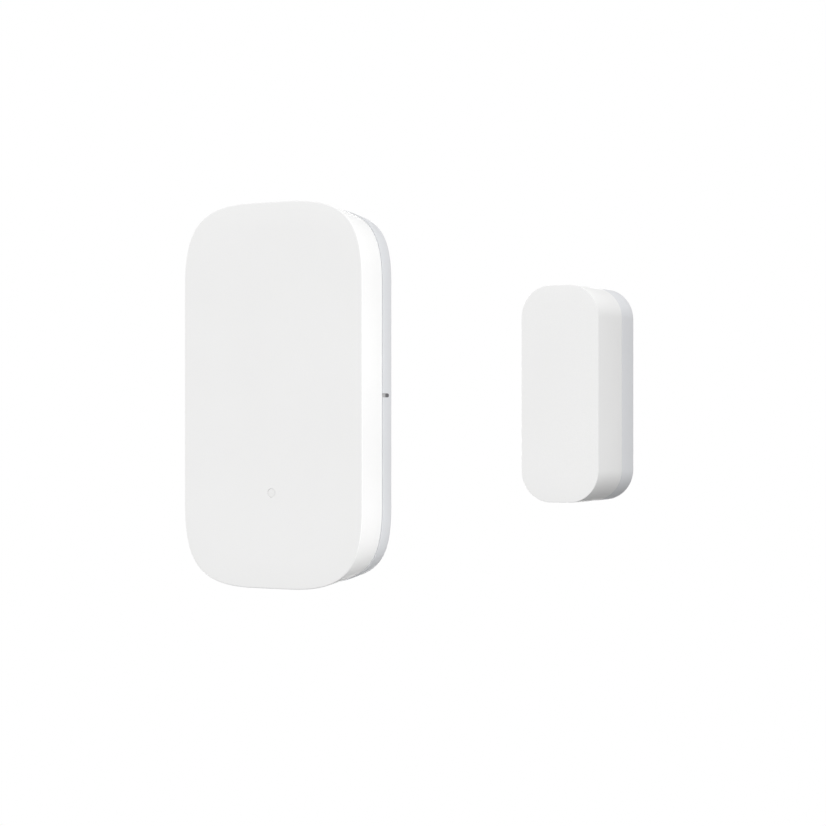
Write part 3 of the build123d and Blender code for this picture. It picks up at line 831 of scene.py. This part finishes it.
for name, node in NODES.items():
    node.data.materials.clear()
    node.data.materials.append(LOOKS[SLOT_OF[name]])


# ---- coin cell and its spring clip
CELL_CENTRE = (middle("cell_can").x, middle("cell_can").z)
CELL_RADIUS = high("cell_can").x
CELL_BACK = -high("cell_can").y
CELL_RIM = -low("cell_can").y
CELL_WALL = 0.25
CELL_ROUND = 0.35
CLIP_THICKNESS = 0.2
CLIP_BEND = 0.4
STRIP_EDGE = 0.03


def plus_outline(centre, reach, half_bar):
    corners = []
    arm = [(half_bar, reach), (half_bar, half_bar), (reach, half_bar)]
    for _ in range(4):
        corners += [(centre[0] + a, centre[1] + b) for a, b in arm]
        arm = [(b, -a) for a, b in arm]
    return corners


def cell_can_mesh():
    """The drawn steel cup of the coin cell, rolled in at its rim, with a plus sign pressed in."""
    groove = CELL_RADIUS - 1.1
    inner = CELL_RADIUS - CELL_WALL
    floor = CELL_BACK + CELL_WALL
    radii = [
        (groove - 0.1, CELL_BACK),
        (groove - 0.05, CELL_BACK + 0.03),
        (groove + 0.05, CELL_BACK + 0.03),
        (groove + 0.1, CELL_BACK),
    ]
    radii += arc((CELL_RADIUS - CELL_ROUND, CELL_BACK + CELL_ROUND), CELL_ROUND, -90, 0, 6)
    radii += arc((CELL_RADIUS - CELL_WALL / 2, CELL_RIM - CELL_WALL / 2), CELL_WALL / 2, 0, 180, 8)
    radii += [(inner, floor + 0.1), (inner - 0.1, floor)]
    mesh = turned_mesh(radii, CELL_CENTRE, "Y", 128)
    sign = plus_outline((CELL_CENTRE[0], CELL_CENTRE[1] + 3.1), 1.2, 0.24)
    return sharpen(cut(mesh, prism_mesh(sign, CELL_BACK - 1.0, CELL_BACK + 0.06)))


def strip_mesh(path, half_width, thickness):
    """A bent strip of sheet metal. path is its middle line as (depth, z) points."""
    last = len(path) - 1

    def outline(shrink):
        left = []
        right = []
        for i, point in enumerate(path):
            along = (Vector(path[min(i + 1, last)]) - Vector(path[max(i - 1, 0)])).normalized()
            across = Vector((-along.y, along.x)) * (thickness / 2 - shrink)
            place = Vector(point)
            if i == 0:
                place += along * shrink
            if i == last:
                place -= along * shrink
            left.append(place + across)
            right.append(place - across)
        return left + right[::-1]

    sides = (
        (-half_width, STRIP_EDGE), (STRIP_EDGE - half_width, 0.0),
        (half_width - STRIP_EDGE, 0.0), (half_width, STRIP_EDGE),
    )
    return ring_mesh([[(x, -p.x, p.y) for p in outline(shrink)] for x, shrink in sides])


def positive_clip_mesh():
    """A strip that rises from the board and lies over the cell as two fingers with a contact bend."""
    foot = BOARD_BACK_DEPTH - CLIP_THICKNESS / 2
    strap = -high("positive_clip").y + CLIP_THICKNESS / 2
    start = low("positive_clip").z
    end = high("positive_clip").z
    riser = start + 1.8
    path = profile([
        (foot, start, 0),
        (foot, riser, CLIP_BEND),
        (strap, riser, CLIP_BEND),
        (strap, end - 2.2, 2.0),
        (CELL_BACK - CLIP_THICKNESS / 2, end - 1.0, 0.6),
        (strap, end, 0),
    ])
    mesh = strip_mesh(path, high("positive_clip").x, CLIP_THICKNESS)
    slot_half = 0.3
    slot = [(slot_half, end + 1.0), *arc((0.0, riser + 2.0), slot_half, 0, -180, 12), (-slot_half, end + 1.0)]
    return sharpen(cut(mesh, prism_mesh(slot, strap - 1.0, strap + 1.0)))


# ---- button, light guide, reed capsule
REED_AXIS = (middle("reed_glass").x, middle("reed_glass").y)
REED_RADIUS = high("reed_glass").x - middle("reed_glass").x
REED_END = high("reed_glass").z
REED_WALL = 0.24


def reset_button_mesh():
    """A flanged pin with a rounded, slightly dished tip."""
    tip = high("reset_button").z
    back = low("reset_button").z
    flange_top = back + 0.45
    stem = 0.7
    radii = flange(high("reset_button").x, back, flange_top)
    radii += arc((stem + 0.12, flange_top + 0.12), 0.12, -90, -180, 4)
    radii += dome(stem, tip, 0.22, 0.22, 6)
    radii += [(0.3, tip - 0.015), (0.1, tip - 0.03)]
    return turned_mesh(radii, BUTTON_PLACE, "Z", 48)


def light_guide_mesh():
    """A footed peg whose tip ends almost flush with the front face."""
    back = -high("light_guide").y
    foot_front = back + 0.3
    stem = LIGHT_HOLE - 0.006
    radii = flange(high("light_guide").x, back, foot_front) + [(stem, foot_front)]
    radii += dome(stem, -low("light_guide").y, 0.14, 0.05, 6)
    return turned_mesh(radii, LIGHT_CENTRE, "Y", 48)


def capsule(radius, end, tip, steps):
    """Turned points of a tube along Z that closes at both ends to the tip's radius."""
    upper = dome(radius, end, radius - tip, radius * 1.1, steps)
    return [(r, -place) for r, place in reversed(upper)] + upper


def reed_glass_mesh():
    """A drawn glass tube melted shut onto the two wires, with the gas space inside it."""
    tube = turned_mesh(capsule(REED_RADIUS - 0.005, REED_END, 0.2, 10), REED_AXIS, "Z", 56)
    gas = turned_mesh(capsule(REED_RADIUS - REED_WALL, REED_END - 0.7, 0.12, 8), REED_AXIS, "Z", 56)
    mesh = cut(tube, gas)
    for face in mesh.polygons:
        face.use_smooth = True
    return mesh


def retainer_outline(inset):
    half_x = high("magnet_retainer").x - MAGNET_CENTRE_X - inset
    half_z = high("magnet_retainer").z - inset
    return rounded_rectangle((MAGNET_CENTRE_X, 0.0), half_x, half_z, max(0.3 - inset, SMALLEST_CORNER))


# ---- detail on the board's back face
TRACK_RISE = 0.03
TRACK_WIDTH = 0.2
PRINT_FACE = BOARD_BACK_DEPTH - 0.02
PRINT_LINE = 0.12
GOLD_FACE = BOARD_BACK_DEPTH - TRACK_RISE * 1.3
GOLD_EDGE = 0.02
PAD_ROW_Z = -16.6
PAD_XS = (-3.6, -1.8, 0.0, 1.8, 3.6)
PAD_RADIUS = 0.55
VIA_RADIUS = 0.3
VIA_HOLE = VIA_RADIUS * 0.45
# Where each test pad's track ends, left to right.
PAD_VIAS = ((-5.2, -11.4), (-3.2, -12.6), (-0.8, -12.0), (1.6, -13.0), (6.8, -12.2))
# Other tracks, each from via to via through its bends.
LONG_TRACKS = (
    ((-7.9, -6.2), (-7.9, -11.0), (-7.0, -11.9)),
    ((-7.1, -6.2), (-7.1, -9.4), (-6.2, -10.3)),
    ((-4.6, -6.0), (-4.6, -8.2), (-3.4, -9.4), (-3.4, -10.4)),
    ((0.0, -5.4), (0.0, -8.4), (1.1, -9.5), (1.9, -9.5)),
    ((6.1, -9.5), (7.0, -9.5), (7.9, -8.6), (7.9, -6.4)),
    ((-2.6, -6.4), (-2.6, -7.6), (-1.4, -8.8), (-1.4, -10.4)),
)


def ribbon(points, width):
    """The (x, z) outline of a track of even width along points."""
    last = len(points) - 1
    left = []
    right = []
    for i, point in enumerate(points):
        here = Vector(point)
        into = (here - Vector(points[i - 1])).normalized() if i > 0 else None
        out = (Vector(points[i + 1]) - here).normalized() if i < last else None
        along = ((into or out) + (out or into)).normalized()
        stretch = 1.0 / max(0.3, along.dot(into or out))
        across = Vector((-along.y, along.x)) * (width / 2 * stretch)
        left.append(here + across)
        right.append(here - across)
    return [(p.x, p.y) for p in left + right[::-1]]


def board_tracks():
    """Copper tracks under the lacquer, each a little proud of the board."""
    routes = list(LONG_TRACKS)
    bend = PAD_ROW_Z + 1.4
    for x, via in zip(PAD_XS, PAD_VIAS):
        second_bend = min(bend + abs(via[0] - x), via[1] - 0.3)
        routes.append(((x, PAD_ROW_Z), (x, bend), (via[0], second_bend), via))
    work = bmesh.new()
    for route in routes:
        add_prism(work, ribbon(route, TRACK_WIDTH), BOARD_BACK_DEPTH - TRACK_RISE, BOARD_BACK_DEPTH)
    return mesh_of(work)


def gold_disc(radius):
    return [(radius, BOARD_BACK_DEPTH), (radius, GOLD_FACE + GOLD_EDGE), (radius - GOLD_EDGE, GOLD_FACE)]


def board_gold():
    """Gold test pads and ringed vias."""
    work = bmesh.new()
    for x in PAD_XS:
        add_lathe(work, gold_disc(PAD_RADIUS), (x, PAD_ROW_Z), "Y", 36)
    via = gold_disc(VIA_RADIUS) + [
        (VIA_HOLE + GOLD_EDGE, GOLD_FACE),
        (VIA_HOLE, GOLD_FACE + GOLD_EDGE),
        (VIA_HOLE * 0.7, BOARD_BACK_DEPTH - 0.005),
    ]
    ends = list(PAD_VIAS)
    for route in LONG_TRACKS:
        ends += [route[0], route[-1]]
    for place in ends:
        add_lathe(work, via, place, "Y", 24)
    return mesh_of(work)


def board_print():
    """White component outlines, with no lettering."""
    work = bmesh.new()
    cap = middle("buffer_capacitor")
    frames = (((cap.x, cap.z), 2.05, 1.2, 0.2), ((0.0, PAD_ROW_Z), 4.6, 0.95, 0.5))
    for centre, half_x, half_z, corner in frames:
        outer = rounded_rectangle(centre, half_x, half_z, corner)
        inner = rounded_rectangle(
            centre, half_x - PRINT_LINE, half_z - PRINT_LINE, corner - PRINT_LINE / 2
        )
        band = (
            (outer, BOARD_BACK_DEPTH), (outer, PRINT_FACE), (inner, PRINT_FACE), (inner, BOARD_BACK_DEPTH)
        )
        add_rings(work, [[(x, -depth, z) for x, z in line] for line, depth in band], closed=True)
    foot = low("positive_clip")
    sign = plus_outline((foot.x - 1.1, foot.z + 0.9), 0.5, 0.08)
    add_prism(work, sign, PRINT_FACE, BOARD_BACK_DEPTH)
    return mesh_of(work)


def solder_joints():
    """Solder drawn up against the clip's foot and the capacitor's ends."""
    work = bmesh.new()
    foot = low("positive_clip")
    cap = middle("buffer_capacitor")
    # Each mound's centre, its radius on the board and its rise.
    mounds = (
        ((foot.x, foot.z + 0.9), 0.42, 0.3),
        ((-foot.x, foot.z + 0.9), 0.42, 0.3),
        ((0.0, foot.z), 0.5, 0.3),
        ((low("buffer_capacitor").x, cap.z), 0.6, 0.7),
        ((high("buffer_capacitor").x, cap.z), 0.6, 0.7),
    )
    for centre, radius, rise in mounds:
        radii = [(radius, BOARD_BACK_DEPTH)]
        for step in range(1, 8):
            f = step / 8
            # A concave skirt that ends in a small round top.
            radii.append((radius * (1.0 - f) ** 0.8 + 0.02, BOARD_BACK_DEPTH - rise * f ** 1.5))
        add_lathe(work, radii, centre, "Y", 28)
    return mesh_of(work)


def switch_plate():
    """The tact switch's steel cover, held by four riveted pins."""
    back = -high("switch_body").y
    top = back - 0.1
    centre_z = middle("switch_body").z
    half_x = high("switch_body").x - 0.12
    half_z = high("switch_body").z - centre_z - 0.12
    work = bmesh.new()
    add_prism(work, rounded_rectangle((0.0, centre_z), half_x, half_z, 0.3), top, back)
    rivet = [(0.2, top)] + [(radius, top - rise) for radius, rise in arc((0.0, 0.0), 0.17, 15, 75, 4)]
    for side_x in (-1, 1):
        for side_z in (-1, 1):
            centre = (side_x * (half_x - 0.35), centre_z + side_z * (half_z - 0.35))
            add_lathe(work, rivet, centre, "Y", 20)
    return mesh_of(work)


# ---- components on the board
WELD_DISTANCE = 1e-6  # metres
BLOCK_CORNER = 0.05
CHIP_INSET = 0.03
CONTACT_DEEP = 0.3
CONTACT_RISE = 0.2


def solid_boxes(node):
    """The boxes of the separate solids in a node, in a fixed order."""
    work = bmesh.new()
    work.from_mesh(NODES[node].data)
    bmesh.ops.transform(work, matrix=NODES[node].matrix_world, verts=work.verts)
    bmesh.ops.remove_doubles(work, verts=work.verts, dist=WELD_DISTANCE)
    work.verts.index_update()
    boxes = []
    seen = set()
    for start in work.verts:
        if start.index in seen:
            continue
        seen.add(start.index)
        group = [start]
        for vert in group:
            for edge in vert.link_edges:
                other = edge.other_vert(vert)
                if other.index not in seen:
                    seen.add(other.index)
                    group.append(other)
        sides = [[vert.co[axis] / MM for vert in group] for axis in range(3)]
        boxes.append((tuple(min(side) for side in sides), tuple(max(side) for side in sides)))
    work.free()
    return sorted(boxes)


def part_of(box, start, end, axis):
    """The slice of a box from start to end, as fractions along one axis."""
    corners = [list(corner) for corner in box]
    size = box[1][axis] - box[0][axis]
    corners[0][axis] = box[0][axis] + size * start
    corners[1][axis] = box[0][axis] + size * end
    return corners


def add_block(work, box, base, inset=0.0, rise=1.0, chamfer=0.04):
    """A moulded block on the board face at depth base, chamfered round its top."""
    (x0, y0, z0), (x1, y1, z1) = box
    far = max((-y0, -y1), key=lambda depth: abs(depth - base))
    top = base + (far - base) * rise
    sense = 1.0 if top > base else -1.0
    levels = ((0.0, base), (0.0, top - sense * (chamfer + inset)), (chamfer, top - sense * inset))
    rings = []
    for shrink, depth in levels:
        half_x = (x1 - x0) / 2 - inset - shrink
        half_z = (z1 - z0) / 2 - inset - shrink
        outline = rounded_rectangle(((x0 + x1) / 2, (z0 + z1) / 2), half_x, half_z, BLOCK_CORNER, 3, 2)
        rings.append([(x, -depth, z) for x, z in outline])
    add_rings(work, rings)


def block_mesh(box, **shape):
    return built(add_block, box, BOARD_FRONT_DEPTH, **shape)


def add_contacts(work, node, counts, pitch, width):
    """Contacts along the sides of a chip: counts are how many on each X side and each Z side."""
    box = solid_boxes(node)[0]
    rise = CONTACT_RISE / (box[1][1] - box[0][1])
    for axis, count in zip((0, 2), counts):
        across = 2 - axis
        for i in range(count):
            centre = (box[0][across] + box[1][across]) / 2 + (i - (count - 1) / 2) * pitch
            for end, reach in ((0, CONTACT_DEEP), (1, -CONTACT_DEEP)):
                pair = [list(corner) for corner in box]
                pair[0][across] = centre - width / 2
                pair[1][across] = centre + width / 2
                pair[0][axis], pair[1][axis] = sorted((box[end][axis], box[end][axis] + reach))
                add_block(work, pair, BOARD_FRONT_DEPTH, rise=rise, chamfer=0.02)


def chip_mesh(node):
    """A moulded chip with a round dimple by its first contact."""
    low_corner, high_corner = solid_boxes(node)[0]
    mesh = block_mesh((low_corner, high_corner), inset=CHIP_INSET)
    top = -low_corner[1] - CHIP_INSET
    dimple = [(0.24, top - 0.03), (0.3, top + 0.3)]
    place = (low_corner[0] + 0.7, high_corner[2] - 0.7)
    return sharpen(cut(mesh, turned_mesh(dimple, place, "Y", 24)))


def banded_mesh(node, base, band, terminals):
    """A node's blocks with metal ends: their bodies as one mesh, their ends added to terminals."""
    work = bmesh.new()
    for box in solid_boxes(node):
        axis = 0 if box[1][0] - box[0][0] > box[1][2] - box[0][2] else 2
        add_block(work, part_of(box, band / 2, 1.0 - band / 2, axis), base, 0.02)
        add_block(terminals, part_of(box, 0.0, band, axis), base)
        add_block(terminals, part_of(box, 1.0 - band, 1.0, axis), base)
    return mesh_of(work)


def mark_mesh(node):
    return slot_mesh(node, low(node).x, high(node).x, low(node).y)


# ---- the pieces
FOAM_PIECES = (
    ("sensor_foam_tape", "sensor_base", "foam_pad", "sensor_pad",
     (sensor_outline, SENSOR_HALF_X - high("sensor_pad").x, 0.0, COVER_BACK_DEPTH, 11)),
    ("magnet_foam_tape", "magnet_unit", "foam_pad", "magnet_pad",
     (magnet_outline, MAGNET_HALF_X - (high("magnet_pad").x - MAGNET_CENTRE_X), 0.0, COVER_BACK_DEPTH, 12)),
    ("magnet_retainer_foam", "magnet_unit", "foam_grey", "magnet_retainer",
     (retainer_outline, 0.03, -high("magnet_retainer").y, -low("magnet_retainer").y, 13, 0.8)),
)
for name, body, slot, node, shape in FOAM_PIECES:
    make(name, foam_pad_mesh(*shape), body, slot, node)

# Each component's node, the board face it stands on, how much of it each metal end takes, and its slot.
BANDED_PIECES = (
    ("passive_components", "small_components", BOARD_FRONT_DEPTH, 0.24, "component_ceramic"),
    ("buffer_capacitor_body", "buffer_capacitor", BOARD_BACK_DEPTH, 0.2, "component_ceramic"),
    ("chip_antenna_body", "chip_antenna", BOARD_FRONT_DEPTH, 0.12, "component_ceramic"),
    ("status_led_body", "status_led", BOARD_FRONT_DEPTH, 0.22, "led_white"),
)
metal_ends = bmesh.new()
add_contacts(metal_ends, "radio_chip", (10, 10), 0.5, 0.25)
add_contacts(metal_ends, "memory_chip", (3, 0), 1.1, 0.4)
for name, node, base, band, slot in BANDED_PIECES:
    make(name, banded_mesh(node, base, band, metal_ends), "housing", slot, node)

crystal = solid_boxes("clock_crystal")[0]
crystal_top = part_of(part_of(crystal, 0.07, 0.93, 0), 0.08, 0.92, 2)
HARD_PIECES = (
    ("sensor_front_shell", front_shell_mesh(), "housing", "shell_white", "front_shell"),
    ("sensor_rear_cover", rear_cover_mesh(), "sensor_base", "cover_grey", "rear_cover"),
    ("magnet_front_shell", magnet_shell_mesh(), "magnet_unit", "shell_white", "magnet_shell"),
    ("coin_cell_can", cell_can_mesh(), "housing", "cell_steel", "cell_can"),
    ("positive_spring_clip", positive_clip_mesh(), "housing", "spring_steel", "positive_clip"),
    ("reset_pin", reset_button_mesh(), "reset_key", "button_white", "reset_button"),
    ("status_light_guide", light_guide_mesh(), "housing", "light_guide", "light_guide"),
    ("reed_glass_tube", reed_glass_mesh(), "housing", "reed_glass", "reed_glass"),
    ("radio_chip_body", chip_mesh("radio_chip"), "housing", "chip_black", "radio_chip"),
    ("memory_chip_body", chip_mesh("memory_chip"), "housing", "chip_black", "memory_chip"),
    ("crystal_base", block_mesh(crystal, rise=0.5), "housing", SLOT_OF["clock_crystal"], "clock_crystal"),
    ("crystal_lid", block_mesh(crystal_top, chamfer=0.06), "housing", "spring_steel"),
    ("sensor_index_mark", mark_mesh("alignment_mark"), "sensor_base", "mark_dark", "alignment_mark"),
    ("magnet_index_mark", mark_mesh("magnet_mark"), "magnet_unit", "mark_dark", "magnet_mark"),
    ("board_gold_pads", board_gold(), "housing", "contact_gold"),
    ("switch_cover_plate", switch_plate(), "housing", "spring_steel"),
)
for row in HARD_PIECES:
    make(*row)

make(
    "magnet_rear_cover", magnet_cover_mesh(), "magnet_unit", "cover_grey", "magnet_cover", look=MAGNET_PLASTIC_PAINTED_LIGHTER
)
make("board_tracks", board_tracks(), "housing", "board_green", look=COPPER_MASK)
make("board_print", board_print(), "housing", "led_white", look=PRINT_INK)
make("solder_joints", solder_joints(), "housing", "spring_steel", look=SOLDER)
make("component_terminals", mesh_of(metal_ends), "housing", "spring_steel", look=SOLDER)


# ---- camera, stage and light
CAMERA_PLACE = (117.72, -201.22, -2.03)
CAMERA_TURN = math.radians(27.645)
CAMERA_TILT = math.radians(90.04)
CAMERA_LENS = 92.69
FLOOR_DROP = 0.25  # metres
BACKDROP_RADIUS = 3.0  # metres
# Each lamp's name, place, aim, width and height in metres, and watts.
LAMPS = (
    ("card", (0.026, -0.004, 0.0), (0.025, -0.004, 0.0), (0.008, 0.046), 0.00157),
    ("low_card", (0.023, -0.004, -0.022), (0.022, -0.004, -0.0217), (0.01, 0.012), 0.00058),
    ("back_fill", (-0.35, 0.5, 0.0), (0.01, 0.0, 0.0), (0.4, 0.4), 2.0),
)
# Soft light round the part: where each source lies, the cosine power that gathers it, its strength.
AMBIENT = 0.3
SOFT_LIGHTS = (
    ((0.0, 0.0, -1.0), 1.0, -0.28),
    ((0.0, -1.0, 0.0), 1.0, 0.57),
    ((-1.0, 0.0, 0.0), 1.0, 0.8),
    ((1.0, 0.0, 1.0), 4.0, 1.9),
    ((1.0, -1.0, 0.0), 4.0, 0.33),
)


def add_object(name, data):
    thing = bpy.data.objects.new(name, data)
    bpy.context.scene.collection.objects.link(thing)
    return thing


def add_camera():
    data = bpy.data.cameras.new("camera")
    data.sensor_width = 36.0
    data.lens = CAMERA_LENS
    data.clip_start = 0.005
    camera = add_object("camera", data)
    camera.location = Vector(CAMERA_PLACE) * MM
    camera.rotation_euler = (CAMERA_TILT, 0.0, CAMERA_TURN)
    bpy.context.scene.camera = camera


def studio_white():
    """The even white of a lit studio sweep."""
    material = bpy.data.materials.new("studio_white")
    graph = Graph(material)
    graph.tree.nodes.remove(graph.tree.nodes["Principled BSDF"])
    glow = graph.add("Emission", {"Color": (1.0, 1.0, 1.0, 1.0), "Strength": 1.0})
    graph.link(glow.outputs[0], graph.tree.nodes["Material Output"].inputs["Surface"])
    return material


def add_stage_piece(name, work, material):
    mesh = bpy.data.meshes.new(name)
    work.to_mesh(mesh)
    work.free()
    mesh.materials.append(material)
    piece = add_object(name, mesh)
    for kind in ("diffuse", "glossy", "transmission", "volume_scatter", "shadow"):
        setattr(piece, f"visible_{kind}", False)


def add_stage():
    """A pale floor well below the part and a backdrop all round, seen but giving no light."""
    white = studio_white()
    floor = bmesh.new()
    bmesh.ops.create_circle(floor, cap_ends=True, segments=64, radius=BACKDROP_RADIUS)
    bmesh.ops.translate(floor, verts=floor.verts, vec=(0.0, 0.0, -FLOOR_DROP))
    add_stage_piece("studio_floor", floor, white)
    backdrop = bmesh.new()
    bmesh.ops.create_uvsphere(backdrop, u_segments=48, v_segments=24, radius=BACKDROP_RADIUS * 1.01)
    add_stage_piece("studio_backdrop", backdrop, white)


def add_lamp(name, place, target, size, power):
    data = bpy.data.lights.new(name, "AREA")
    data.shape = "RECTANGLE"
    data.size, data.size_y = size
    data.energy = power
    lamp = add_object(name, data)
    lamp.location = place
    lamp.rotation_euler = (Vector(target) - Vector(place)).to_track_quat("-Z", "Y").to_euler()
    lamp.visible_camera = False


def add_sky():
    """A world of even ambient light and a few broad soft sources."""
    world = bpy.data.worlds.new("studio")
    graph = Graph(world)
    place = graph.add("TexCoord").outputs["Generated"]
    total = graph.add("Value").outputs[0]
    total.default_value = AMBIENT
    for direction, power, strength in SOFT_LIGHTS:
        dot = graph.add("VectorMath", operation="DOT_PRODUCT")
        graph.link(place, dot.inputs[0])
        dot.inputs[1].default_value = Vector(direction).normalized()
        lobe = graph.math("POWER", graph.math("MAXIMUM", dot.outputs["Value"], 0.0), power)
        total = graph.math("ADD", graph.math("MULTIPLY", lobe, strength), total)
    graph.link(total, graph.tree.nodes["Background"].inputs["Color"])
    bpy.context.scene.world = world


add_camera()
add_stage()
add_sky()
for lamp_row in LAMPS:
    add_lamp(*lamp_row)
view_settings = bpy.context.scene.view_settings
view_settings.view_transform = "Standard"
view_settings.look = "None"
